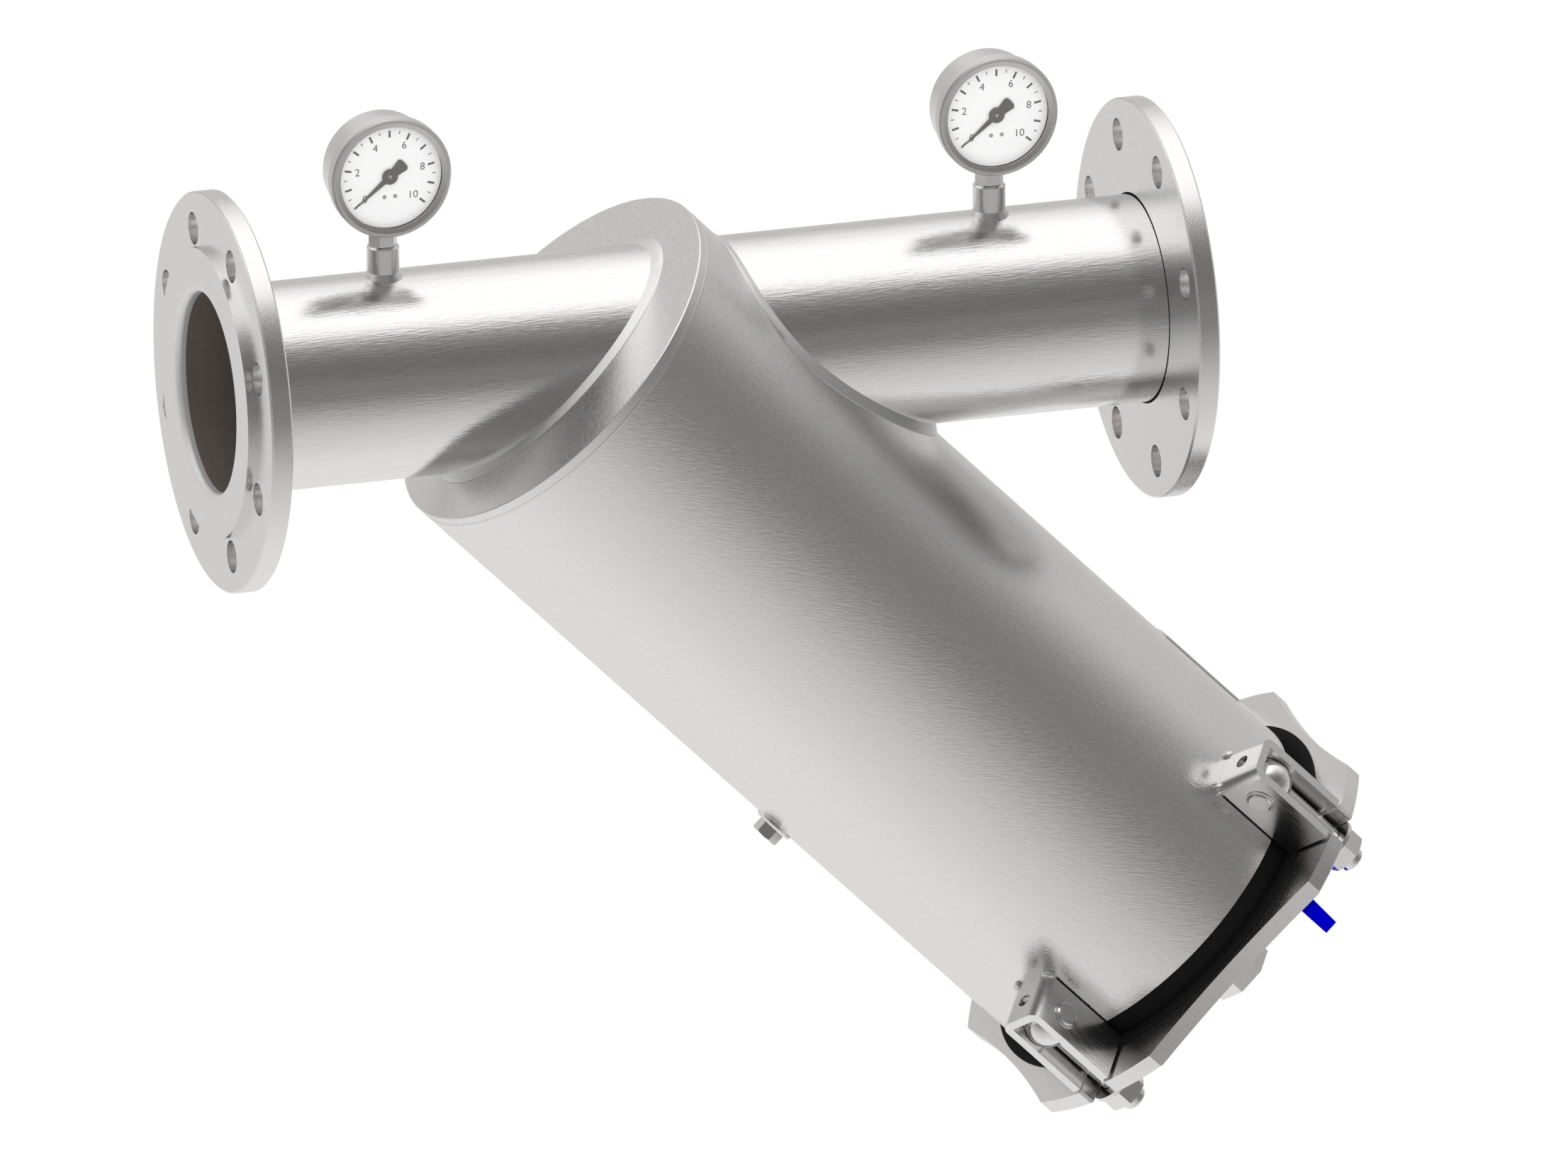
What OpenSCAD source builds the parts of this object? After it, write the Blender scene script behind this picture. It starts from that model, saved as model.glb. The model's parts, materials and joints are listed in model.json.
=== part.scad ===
// Simplex strainer: a stainless Y-type housing with loose flanges, a swing-bolt cover, a perforated
// basket, a drain valve and two pressure gauges. Millimetres. X runs along the pipe from inlet to
// outlet, Z is up, and the origin is the centre of the inlet flange plate's front face.

/* [Pipe run] */
// Outer diameter of both pipes
pipe_od = 114.3; // [108:0.1:118]
// Wall of both pipes and of the collars' necks
pipe_wall = 2; // [1.6:0.1:4]
// Distance between the two sealing faces
face_to_face = 550; // [530:1:700]

/* [Flanges] */
// Outer diameter of the loose flange plates
flange_d = 220; // [212:1:240]
// Thickness of the loose flange plates
flange_t = 12; // [8:0.5:20]
// Width of the flange plates outside the circle of their holes
flange_rim = 20; // [15:0.5:21]
// Diameter of each flange hole
flange_hole_d = 18; // [14:0.5:20]
// Number of holes in each flange
flange_holes = 8; // [4:4:12]
// Chamfer on the rims of the flange plates
flange_chamfer = 1; // [0.5:0.1:2]
// Radial gap between a flange plate and the neck inside it
flange_play = 1; // [0.5:0.1:2]

/* [Collars] */
// Outer diameter of the pressed collar's sealing face
collar_d = 160; // [140:1:162]
// Height of the collar in front of its flange plate
collar_h = 4.5; // [3:0.1:8]
// Rounding between the sealing face and the bore
mouth_r = 4; // [1:0.1:4.4]
// Length of the collar's neck behind the sealing face
neck_len = 13; // [8:0.5:14]

/* [Housing] */
// Distance from the inlet flange to the point where pipe axis and housing axis cross
cross_x = 193.4; // [185:0.1:205]
// Angle of the housing below the pipe axis
tilt = 45; // [44:0.5:48]
// Outer diameter of the housing
shell_od = 219.1; // [217:0.1:226]
// Wall of the housing
shell_wall = 3; // [2:0.1:4]
// Length of the housing from its top face to its open end
shell_len = 478; // [440:1:560]
// Thickness of the disc that closes the top of the housing
top_disc_t = 5.5; // [4:0.5:12]
// Chamfer on the outer edge of that disc
top_disc_chamfer = 0.5; // [0.2:0.1:2]
// Leg of the weld between the inlet pipe and the top disc
disc_weld = 4.5; // [2:0.1:6]
// Leg of the weld between the outlet pipe and the housing
saddle_weld = 4; // [1:0.1:6]

/* [Cover] */
// Gap between the housing's open end and the cover plate
cover_gap = 14.5; // [10:0.5:20]
// Thickness of the cover plate
cover_t = 10; // [8:0.5:16]
// Distance from the bolts out to the arcs at the cover's four corners
corner_reach = 15.7; // [13:0.1:20]
// Distance from the housing out to the cover's sides, where its corner arcs meet them
side_reach = 15.45; // [13:0.05:18]
// Depth of the shallow hollow in each side of the cover
side_dip = 4; // [2:0.5:8]
// Chamfer on the outer edge of the corner arcs
cover_chamfer = 0.8; // [0.3:0.1:3]
// Width of the chamfers where each slot opens
slot_mouth = 1.8; // [0.5:0.1:3]
// Shoulder by which the centring ring is narrower where it shows in the gap
step_shoulder = 3.2; // [1:0.1:6]
// Depth to which the centring ring reaches into the housing
step_reach = 14; // [12:0.5:18]
// Radial gap between the centring ring and the housing
step_play = 0.35; // [0.2:0.05:0.6]
// Thickness of the round sealing ring
seal_d = 5; // [4:0.1:6]

/* [Swing bolts] */
// Diameter of the bolt shanks
bolt_d = 14; // [10:0.5:14]
// Length of thread that stands out of a nut
bolt_stick = 6.6; // [3:0.1:20]
// Distance from the cover's outer face back to the hinge pins
pin_drop = 51.1; // [46:0.1:56]
// Diameter of the hinge pins
pin_d = 14; // [10:0.5:14]
// Length of each pin's end outside the bracket
pin_end = 1.8; // [1:0.1:4]
// Diameter of the bolt's ball eye
eye_d = 28; // [24:0.5:32]
// Gap between a ball eye and the housing
eye_gap = 1.45; // [0.5:0.05:3]
// Gap on each side of the eye inside its bracket
eye_play = 0.3; // [0.1:0.05:0.6]
// Width of the slots in the cover
slot_w = 17; // [15.5:0.5:19]
// Width of a nut across its flats
nut_af = 22; // [19:0.5:24]
// Height of a nut
nut_h = 11; // [8:0.5:13]
// Outer diameter of a washer
washer_d = 28; // [25:0.5:28]
// Thickness of a washer
washer_t = 2.5; // [1.5:0.1:4]
// Gap left under a washer
washer_lift = 0.6; // [0.2:0.05:0.8]

/* [Bolt brackets] */
// Thickness of the bent bar
bar_t = 5; // [3:0.1:5.2]
// Clear width between a bracket's legs
fork_w = 17; // [16:0.5:18]
// Gap between a ball eye and the web behind it
web_gap = 0.9; // [0.5:0.1:5]
// Gap between the ends of the legs and the cover
leg_gap = 1.4; // [1:0.1:10]
// Distance from the pin's axis out to the bracket's outer edge
bracket_nose = 14.3; // [10:0.1:16]
// Outer radius of the bracket's bends
bend_r = 6.2; // [5.5:0.1:8]
// Gap between the legs and the housing
leg_lift = 1; // [0.5:0.1:2]
// Diameter of the hole in each web
web_hole_d = 8; // [5:0.5:10]

/* [Basket] */
// Gap between the basket's rings and the housing's wall
basket_gap = 13.5; // [10:0.5:18]
// Width by which the basket's top ring lies on its seat
seat_lip = 5; // [3:0.5:8]
// Width by which the basket's bottom ring lies on the centring ring
foot_lip = 9; // [5:0.5:12]
// Distance from the housing's top face to the basket's seat
seat_depth = 14; // [12:0.5:16]
// Thickness of the seat ring
seat_t = 5; // [3:0.5:6]
// Height of the basket's end rings
basket_ring_h = 8; // [5:0.5:8.5]
// Wall of the perforated sheet
sheet_t = 1.5; // [1:0.1:2]
// Width of each perforation round the basket
mesh_hole_w = 16; // [6:0.5:19]
// Height of each perforation along the basket
mesh_hole_h = 16; // [6:0.5:18]
// Number of perforations round the basket
mesh_columns = 20; // [8:1:24]
// Number of rows of perforations
mesh_rows = 16; // [6:1:18]
// Diameter of the rod that the basket's handle is bent from
handle_rod_d = 7; // [5:0.5:8]
// Radius of the handle's bow
handle_bow_r = 22; // [16:0.5:23]

/* [Drain valve] */
// Diameter of the waterway through the valve
drain_bore_d = 18; // [12:0.5:18]
// Diameter of the ball
ball_d = 27; // [26.5:0.5:28]
// Distance from the cover's outer face to the valve stem's axis
stem_stand = 29.5; // [27:0.5:36]
// Width across the flats of the octagonal ends
octagon_af = 36.7; // [34:0.1:42]
// Length of the octagonal outer end
octagon_len = 14; // [10:0.5:20]
// Diameter of the round valve chamber
chamber_d = 35; // [34.5:0.5:36]
// Diameter of the female thread in the outer end
port_d = 24.2; // [22:0.1:26.5]
// Depth of the female thread in the outer end
port_len = 12; // [8:0.5:13]
// Diameter of the thread that screws into the cover
spigot_d = 26.4; // [24:0.1:30]
// Diameter of the valve stem
stem_d = 10; // [8:0.5:11]
// Distance from the waterway's axis to the underside of the lever's grip
lever_rise = 49; // [47:0.5:60]
// Length of the lever from the stem's axis to the grip's tip
lever_len = 87; // [70:1:120]
// Width of the lever's grip
grip_w = 20; // [16:0.5:24]
// Thickness of the lever's grip
grip_t = 8; // [7:0.5:10]
// Thickness of the steel lever inside the grip
lever_t = 2.5; // [2:0.1:3.5]

/* [Gauges] */
// Place of the first gauge along the pipe
inlet_gauge_x = 97.3; // [90:0.5:97.5]
// Distance from the outlet's sealing face back to the second gauge
outlet_gauge_back = 101.6; // [95:0.1:108]
// Diameter of the gauge case
case_d = 62; // [60:0.5:63]
// Wall of the gauge case
case_wall = 1.2; // [0.8:0.1:1.6]
// Depth of the case behind the pipe's vertical plane
case_back = 10; // [9:0.5:14]
// Depth of the case in front of the pipe's vertical plane
case_front = 14.4; // [14.4:0.1:16]
// Width of the bezel outside the case
bezel_w = 3; // [2.5:0.1:6]
// Thickness of the window
window_t = 1.4; // [1:0.1:2]
// Distance of the dial behind the window
dial_depth = 1.8; // [1.6:0.1:2.2]
// Gap between the dial and the case's wall
dial_play = 0.5; // [0.2:0.1:2]
// Length of the pointer from its spindle to its tip
pointer_len = 22.8; // [16:0.1:26]
// Length of the pointer's counterweight
tail_len = 11; // [7:0.5:12]
// Angle of the zero mark below the horizontal, on the left
zero_angle = 40; // [30:1:50]

/* [Gauge sockets] */
// Outer diameter of the threaded sockets
socket_d = 17.8; // [17.5:0.1:20]
// Height of the sockets' tops above the pipe axis
socket_top = 75; // [72:0.5:78]
// Diameter of the thread in the sockets
gauge_thread_d = 13.2; // [12:0.1:14]
// Width across the flats of the gauge connections
gauge_af = 14; // [13.5:0.5:17]
// Height of the hexagon between the socket and the case
gauge_hex_h = 11.8; // [8:0.1:20]
// Gap between that hexagon and the case
gauge_hex_gap = 0.2; // [0.1:0.1:1]

/* [Side plug] */
// Distance from the housing's top face to the plug
plug_t = 290; // [230:1:380]
// Diameter of the welded boss
boss_d = 23.5; // [20:0.5:28]
// Height of the welded boss
boss_h = 2; // [1.5:0.5:5]
// Width of the plug's head across its flats
plug_af = 14; // [12:0.5:17]
// Height of the plug's head
plug_head_h = 6.9; // [3:0.1:9]
// Diameter of the plug's thread
plug_thread_d = 13; // [9:0.5:13.5]

/* [Name plate] */
// Length of the bare plate along the housing
plate_len = 59; // [40:1:70]
// Distance from the housing's open end to the plate
plate_inset = 29; // [20:1:60]
// Angle that the plate spans round the housing
plate_span = 29.5; // [20:0.5:40]
// Thickness of the plate
plate_t = 1; // [0.5:0.1:2]
// Layer of glue under the plate
plate_glue = 0.1; // [0.05:0.05:0.5]

/* [Hidden] */
$fn = 96;
// Running clearance of every pin, spindle and stem
running = 0.05;
// Extra length of a cut, so that it leaves its piece cleanly
over = 1;
far = 400;

pipe_r = pipe_od / 2;
bore_r = pipe_r - pipe_wall;
hole_circle_d = flange_d - 2 * flange_rim;
outlet_x = face_to_face - 2 * collar_h;
inlet_pipe_x = neck_len - collar_h;
outlet_pipe_x = outlet_x - inlet_pipe_x;
outlet_gauge_x = face_to_face - collar_h - outlet_gauge_back;

shell_r = shell_od / 2;
shell_bore_r = shell_r - shell_wall;
basket_r = shell_bore_r - basket_gap;
cover_in = shell_len + cover_gap;
cover_out = cover_in + cover_t;
bolt_r = shell_r + eye_gap + eye_d / 2;
cover_r = bolt_r + corner_reach;
cover_half = shell_r + side_reach;
half_chord = sqrt(pow(cover_r, 2) - pow(cover_half, 2));
side_r = (pow(half_chord, 2) + pow(side_dip, 2)) / (2 * side_dip);
step_in = shell_len - step_reach;
step_r = shell_bore_r - step_play;
step_outer_r = step_r - step_shoulder;
step_bore_r = basket_r - foot_lip;
seal_t = shell_len - step_reach / 2;
seal_r = shell_bore_r - running - seal_d / 2;

pin_t = cover_out - pin_drop;
bolt_len = pin_drop + washer_lift + washer_t + nut_h + bolt_stick;
web_drop = eye_d / 2 + web_gap + bar_t;
leg_len = pin_drop - cover_t - leg_gap;
bracket_reach = bolt_r + bracket_nose;

seat_bore_r = basket_r - seat_lip;
seat_end = seat_depth + seat_t;
sheet_start = seat_end + basket_ring_h;
sheet_end = step_in - basket_ring_h;
sheet_r = basket_r - 1;
mesh_pitch = (sheet_end - sheet_start) / mesh_rows;
function mesh_at(row) = (row + 0.5) * mesh_pitch - mesh_hole_h / 2;

stem_t = cover_out + stem_stand;
valve_r = chamber_d / 2;
ball_r = ball_d / 2;
seat_thick = 3.5;
chamber_half = ball_r * cos(asin(drain_bore_d / ball_d)) + 2;
body_half = chamber_half + 3;
neck_top = valve_r + 12;
packing_h = 8;
packing_af = 17;
lever_mid = lever_rise + grip_t / 2;
tang_t = 3;
tang_depth = 2.5;
stem_step = 1.5;
lever_nut_h = 5;
lever_nut_af = 13;
grip_start = 18;

gauge_rise = socket_top + gauge_hex_h + gauge_hex_gap + case_d / 2;
bezel_r = case_d / 2 + bezel_w;
dial_r = case_d / 2 - case_wall - dial_play;
window_z = case_front;
dial_z = window_z - dial_depth;
dial_t = 0.8;
bezel_z = 9;
bezel_lip = 1.2;
bezel_front = window_z + window_t + bezel_lip;
spindle_r = 1.2;
hub_r = 4.4;
pointer_t = 0.6;
pointer_z = dial_z + 0.4;
block_w = 20;
block_back = 6;
stem_neck_r = 6;
gauge_bore_r = 2;
tube_r = 22;
tube_w = 3;
tube_h = 8;
tube_z = -1.5;

steel = [0.80, 0.80, 0.79];
dull_steel = [0.68, 0.68, 0.67];
white_seat = [0.93, 0.93, 0.90];
rubber_black = [0.08, 0.08, 0.08];
grip_blue = [0.0, 0.0, 0.80];
dial_white = [0.97, 0.97, 0.97];
pointer_grey = [0.36, 0.36, 0.35];
window_clear = [0.85, 0.92, 0.95, 0.35];

// Places

// Along the housing: z leads down its axis, x to its upper side, y to its front
module on_housing(t = 0)
    translate([cross_x, 0, 0]) rotate([0, 90 + tilt, 0]) rotate([0, 0, 180])
        translate([0, 0, t]) children();

// At bolt i, on its hinge pin's axis: x leads outward, y along the pin, z to the cover
module at_bolt(i)
    on_housing() rotate([0, 0, 45 + 90 * i]) translate([bolt_r, 0, pin_t]) children();

// At the valve's ball: z leads down the waterway, x up the stem, y along the closed lever
module at_valve()
    on_housing(stem_t) children();

// At a dial's centre: x leads right, y up, z out of the dial
module at_gauge(x)
    translate([x, 0, gauge_rise]) rotate([90, 0, 0]) children();

// Along the pipe's axis, from x on
module on_pipe(x = 0)
    translate([x, 0, 0]) rotate([0, 90, 0]) children();

// Shapes that repeat

module tube(r_out, r_in, h)
    difference() {
        cylinder(h = h, r = r_out);
        translate([0, 0, -over]) cylinder(h = h + 2 * over, r = r_in);
    }

// Prism with flat sides, its across-flats size af, one flat facing x
module prism(af, h, sides)
    rotate([0, 0, 180 / sides]) cylinder(h = h, r = af / 2 / cos(180 / sides), $fn = sides);

// Hexagon with its corners turned to a cone at both ends
module hexagon(af, h) {
    corner = af / 2 / cos(30);
    bevel = (corner - af / 2) * 0.9;
    drop = bevel * tan(30);
    intersection() {
        prism(af, h, 6);
        rotate_extrude() polygon([
            [0, 0], [corner - bevel, 0], [corner, drop],
            [corner, h - drop], [corner - bevel, h], [0, h]
        ]);
    }
}

// Round bar with a chamfer at its far end
module chamfered_bar(r, h, c) {
    cylinder(h = h - c, r = r);
    translate([0, 0, h - c]) cylinder(h = c, r1 = r, r2 = r - c);
}

// Flange plate from its sealing side, at z = 0, to its back
module flange_plate() {
    r = flange_d / 2;
    c = flange_chamfer;
    difference() {
        rotate_extrude() polygon([
            [pipe_r + flange_play, 0], [r - c, 0], [r, c],
            [r, flange_t - c], [r - c, flange_t], [pipe_r + flange_play, flange_t]
        ]);
        for (k = [0 : flange_holes - 1])
            rotate([0, 0, (k + 0.5) * 360 / flange_holes])
                translate([hole_circle_d / 2, 0, -over])
                    cylinder(h = flange_t + 2 * over, d = flange_hole_d);
    }
}

// Pressed collar: sealing ring in front of z = 0, rounded mouth and a neck into the plate
module collar()
    difference() {
        union() {
            translate([0, 0, -collar_h]) cylinder(h = collar_h, d = collar_d);
            translate([0, 0, -collar_h]) cylinder(h = neck_len, r = pipe_r);
        }
        translate([0, 0, -collar_h - over]) cylinder(h = neck_len + 2 * over, r = bore_r);
        translate([0, 0, -collar_h]) mouth_cut();
    }

module mouth_cut()
    rotate_extrude() difference() {
        translate([0, -over]) square([bore_r + mouth_r, mouth_r + over]);
        translate([bore_r + mouth_r, mouth_r]) circle(r = mouth_r);
    }

// Threaded socket on top of a pipe
module gauge_socket(x) {
    fillet_h = 4;
    fillet_w = 2.4;
    color(steel) difference() {
        translate([x, 0, 0]) {
            cylinder(h = socket_top - 1, d = socket_d);
            translate([0, 0, socket_top - 1])
                cylinder(h = 1, r1 = socket_d / 2, r2 = socket_d / 2 - 0.8);
            cylinder(h = pipe_r - 1, r = socket_d / 2 + fillet_w);
            translate([0, 0, pipe_r - 1])
                cylinder(h = fillet_h, r1 = socket_d / 2 + fillet_w, r2 = socket_d / 2);
        }
        translate([x, 0, -over]) cylinder(h = socket_top + 2 * over, d = gauge_thread_d);
        on_pipe(-far) cylinder(h = 3 * far, r = pipe_r);
    }
}

// Half-space beyond the plane at distance t along the housing
module housing_beyond(t)
    on_housing(t) translate([-far, -far, 0]) cube(2 * far);

// Half-space above the plane at distance t along the housing
module housing_before(t)
    on_housing(t) translate([-far, -far, -2 * far]) cube(2 * far);

// Housing

module housing_shell()
    color(steel) difference() {
        on_housing(top_disc_t) tube(shell_r, shell_bore_r, shell_len - top_disc_t);
        on_pipe(cross_x) cylinder(h = far, r = bore_r);
        on_housing(plug_t) rotate([0, -90, 0]) cylinder(h = far, d = plug_thread_d);
    }

// Disc with a chamfer round its outer face
module disc_blank() {
    c = top_disc_chamfer;
    cylinder(h = c, r1 = shell_r - c, r2 = shell_r);
    translate([0, 0, c]) cylinder(h = top_disc_t - c, r = shell_r);
}

module top_disc()
    color(steel) difference() {
        on_housing() disc_blank();
        on_pipe(cross_x - far / 2) cylinder(h = far, r = pipe_r);
    }

module inlet_pipe()
    color(steel) difference() {
        on_pipe(inlet_pipe_x) tube(pipe_r, bore_r, far);
        housing_beyond(top_disc_t);
        translate([inlet_gauge_x, 0, 0]) cylinder(h = far, d = gauge_thread_d);
    }

module outlet_pipe()
    color(steel) difference() {
        on_pipe(cross_x) tube(pipe_r, bore_r, outlet_pipe_x - cross_x);
        on_housing(-far) cylinder(h = 2 * far, r = shell_r);
        translate([outlet_gauge_x, 0, 0]) cylinder(h = far, d = gauge_thread_d);
    }

module inlet_collar() color(steel) on_pipe() collar();
module outlet_collar() color(steel) on_pipe(outlet_x) rotate([0, 180, 0]) collar();
module inlet_flange() color(steel) on_pipe() flange_plate();
module outlet_flange() color(steel) on_pipe(outlet_x) rotate([0, 180, 0]) flange_plate();

// Fillet round the inlet pipe on the top disc, and the saddle seam round the outlet pipe
module pipe_welds()
    color(dull_steel) {
        difference() {
            on_pipe(0) tube(pipe_r + disc_weld, pipe_r, far);
            housing_beyond(0);
            housing_before(-disc_weld);
        }
        difference() {
            on_pipe(cross_x) tube(pipe_r + saddle_weld, pipe_r, far);
            on_housing(-far) cylinder(h = 2 * far, r = shell_r);
            on_housing(-far) tube(2 * far, shell_r + saddle_weld, 2 * far);
        }
    }

module side_boss() {
    r = boss_d / 2;
    foot = shell_r - 1;
    land = shell_r + 0.6;
    top = shell_r + boss_h;
    color(dull_steel) difference() {
        on_housing(plug_t) rotate([0, -90, 0]) rotate_extrude() polygon([
            [plug_thread_d / 2, foot], [r, foot], [r, land], [r - top + land, top],
            [plug_thread_d / 2, top]
        ]);
        on_housing(0) cylinder(h = shell_len, r = shell_r, $fn = 480);
    }
}

module side_plug()
    color(steel) on_housing(plug_t) rotate([0, -90, 0]) {
        translate([0, 0, shell_bore_r]) cylinder(h = shell_wall + boss_h, d = plug_thread_d);
        translate([0, 0, shell_r + boss_h]) hexagon(plug_af, plug_head_h);
    }

module name_plate()
    color(steel) on_housing(shell_len - plate_inset - plate_len)
        rotate([0, 0, -plate_span - 0.5]) rotate_extrude(angle = plate_span)
            translate([shell_r + plate_glue, 0]) square([plate_t, plate_len]);

// Basket

module basket_seat()
    color(steel) on_housing(seat_depth) tube(shell_bore_r, seat_bore_r, seat_t);

module basket_top_ring()
    color(steel) on_housing(seat_end) tube(basket_r, seat_bore_r, basket_ring_h);

module basket_screen()
    color(dull_steel) on_housing(sheet_start) difference() {
        tube(sheet_r, sheet_r - sheet_t, sheet_end - sheet_start);
        for (row = [0 : mesh_rows - 1], column = [0 : mesh_columns - 1])
            rotate([0, 0, (column + (row % 2) / 2) * 360 / mesh_columns])
                translate([sheet_r - sheet_t - over, -mesh_hole_w / 2, mesh_at(row)])
                    cube([sheet_t + 2 * over, mesh_hole_w, mesh_hole_h]);
    }

module basket_bottom_ring()
    color(steel) on_housing(sheet_end) tube(basket_r, step_bore_r, basket_ring_h);

// Cross bar in the bottom ring with a bow to pull the basket out
module basket_handle()
    color(steel) on_housing(sheet_end + basket_ring_h / 2) {
        intersection() {
            translate([0, -basket_r, 0]) rotate([-90, 0, 0])
                cylinder(h = 2 * basket_r, d = handle_rod_d);
            translate([0, 0, -basket_ring_h]) cylinder(h = 2 * basket_ring_h, r = step_bore_r);
        }
        rotate([90, 0, 90]) rotate_extrude(angle = 180)
            translate([handle_bow_r, 0]) circle(d = handle_rod_d);
    }

// Cover

module cover_outline()
    difference() {
        circle(r = cover_r);
        for (k = [0 : 3]) rotate([0, 0, 90 * k]) {
            translate([cover_half - side_dip + side_r, 0]) circle(r = side_r, $fn = 360);
            rotate([0, 0, 45]) {
                translate([bolt_r, 0]) circle(d = slot_w);
                translate([bolt_r, -slot_w / 2]) square([bolt_r, slot_w]);
                for (side = [-1, 1]) translate([cover_r, side * slot_w / 2]) rotate([0, 0, 45])
                    square(slot_mouth * sqrt(2), center = true);
            }
        }
    }

module cover_plate()
    color(steel) on_housing() difference() {
        union() {
            intersection() {
                translate([0, 0, cover_in]) linear_extrude(cover_t) cover_outline();
                translate([0, 0, cover_in]) chamfered_bar(cover_r, cover_t, cover_chamfer);
            }
            translate([0, 0, step_in]) tube(step_r, step_bore_r, step_reach);
            translate([0, 0, shell_len - over]) tube(step_outer_r, step_bore_r, cover_gap + over);
        }
        translate([0, 0, seal_t - seal_d / 2])
            tube(step_r + over, seal_r - seal_d / 2 - running, seal_d);
        translate([0, 0, cover_in - over]) cylinder(h = cover_t + 2 * over, d = spigot_d);
    }

module cover_seal()
    color(rubber_black) on_housing(seal_t) rotate_extrude() translate([seal_r, 0]) circle(d = seal_d - 0.1);

// Swing bolts and their brackets

// Bent bar seen from outside: y along the pin, z to the cover, the pin's axis at the origin
module bracket_outline(w, drop, r)
    translate([0, 0]) {
        translate([-w / 2, r - drop]) square([w, leg_len - r + drop]);
        translate([r - w / 2, -drop]) square([w - 2 * r, leg_len + drop]);
        for (side = [-1, 1]) translate([side * (w / 2 - r), r - drop]) circle(r = r);
    }

module bolt_bracket(i) {
    in_r = bend_r - bar_t;
    difference() {
        at_bolt(i) translate([-bolt_r, 0, 0]) rotate([90, 0, 90])
            linear_extrude(bracket_reach) difference() {
                bracket_outline(fork_w + 2 * bar_t, web_drop, bend_r);
                translate([0, over]) bracket_outline(fork_w, web_drop - bar_t + over, in_r);
                translate([-fork_w / 2, 0]) square([fork_w, leg_len + over]);
            }
        on_housing() cylinder(h = 2 * shell_len, r = shell_r);
        on_housing(pin_t - web_drop + bend_r) cylinder(h = 2 * shell_len, r = shell_r + leg_lift);
        at_bolt(i) rotate([90, 0, 0]) translate([0, 0, -far / 2]) cylinder(h = far, d = pin_d);
        at_bolt(i) translate([0, 0, -web_drop - over]) cylinder(h = bar_t + 2 * over, d = web_hole_d);
    }
}

module bolt_brackets()
    color(steel) for (i = [0 : 3]) bolt_bracket(i);

module bracket_pins() {
    half = fork_w / 2 + bar_t + pin_end;
    color(steel) for (i = [0 : 3]) at_bolt(i) for (side = [-90, 90])
        rotate([side, 0, 0]) chamfered_bar(pin_d / 2, half, 1);
}

module swing_bolt(i) {
    eye_w = fork_w - 2 * eye_play;
    color(steel) at_bolt(i) difference() {
        union() {
            intersection() {
                sphere(d = eye_d);
                cube([eye_d + over, eye_w, eye_d + over], center = true);
            }
            chamfered_bar(bolt_d / 2, bolt_len, 1.2);
        }
        rotate([90, 0, 0]) cylinder(h = eye_w + 2 * over, r = pin_d / 2 + running, center = true);
    }
}

module washer(i)
    color(steel) at_bolt(i) translate([0, 0, pin_drop + washer_lift])
        tube(washer_d / 2, bolt_d / 2 + 0.5, washer_t);

module nut(i)
    color(steel) at_bolt(i) translate([0, 0, pin_drop + washer_lift + washer_t]) difference() {
        hexagon(nut_af, nut_h);
        translate([0, 0, -over]) cylinder(h = nut_h + 2 * over, r = bolt_d / 2 + running);
    }

// Drain valve

module valve_body()
    color(dull_steel) at_valve() difference() {
        union() {
            translate([0, 0, -body_half]) cylinder(h = 2 * body_half, r = valve_r);
            translate([0, 0, -stem_stand]) cylinder(h = stem_stand, r = spigot_d / 2 + 3);
            translate([0, 0, -stem_stand + 3]) prism(octagon_af, stem_stand - 3 - body_half, 8);
            translate([0, 0, -stem_stand - cover_t]) cylinder(h = cover_t, d = spigot_d);
            rotate([0, 90, 0]) cylinder(h = neck_top, d = stem_d + 8);
        }
        translate([0, 0, -stem_stand - cover_t - over]) cylinder(h = far, d = drain_bore_d);
        translate([0, 0, -chamber_half]) cylinder(h = far, r = ball_r + 0.3);
        rotate([0, 90, 0]) cylinder(h = far, r = stem_d / 2 + running);
    }

module valve_end()
    color(steel) at_valve() difference() {
        union() {
            translate([0, 0, chamber_half]) cylinder(h = body_half - chamber_half, r = ball_r + 0.3);
            translate([0, 0, body_half]) prism(octagon_af, octagon_len, 8);
        }
        translate([0, 0, chamber_half - over]) cylinder(h = far, d = drain_bore_d);
        translate([0, 0, body_half + octagon_len - port_len]) cylinder(h = far, d = port_d);
    }

module valve_seats()
    color(white_seat) at_valve() for (side = [0, 180]) rotate([side, 0, 0]) difference() {
        translate([0, 0, chamber_half - seat_thick])
            tube(ball_r + 0.3 - running, drain_bore_d / 2, seat_thick);
        sphere(r = ball_r + running);
    }

module valve_ball()
    color(steel) at_valve() difference() {
        sphere(r = ball_r);
        rotate([90, 0, 0]) cylinder(h = 2 * ball_d, d = drain_bore_d, center = true);
        translate([ball_r - tang_depth, -stem_d / 2 - 1, -tang_t / 2 - running])
            cube([ball_r, stem_d + 2, tang_t + 2 * running]);
    }

module valve_stem()
    color(steel) at_valve() {
        intersection() {
            translate([ball_r - tang_depth, -stem_d / 2, -tang_t / 2])
                cube([2 * tang_depth, stem_d, tang_t]);
            rotate([0, 90, 0]) cylinder(h = far, d = stem_d);
        }
        translate([ball_r + 0.5, 0, 0]) rotate([0, 90, 0])
            chamfered_bar(stem_d / 2, lever_mid - lever_t / 2 - ball_r - 0.5, 0.5);
        translate([ball_r + 0.5, 0, 0]) rotate([0, 90, 0])
            chamfered_bar(stem_d / 2 - stem_step, lever_mid + lever_nut_h + 2 - ball_r - 0.5, 0.5);
    }

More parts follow.
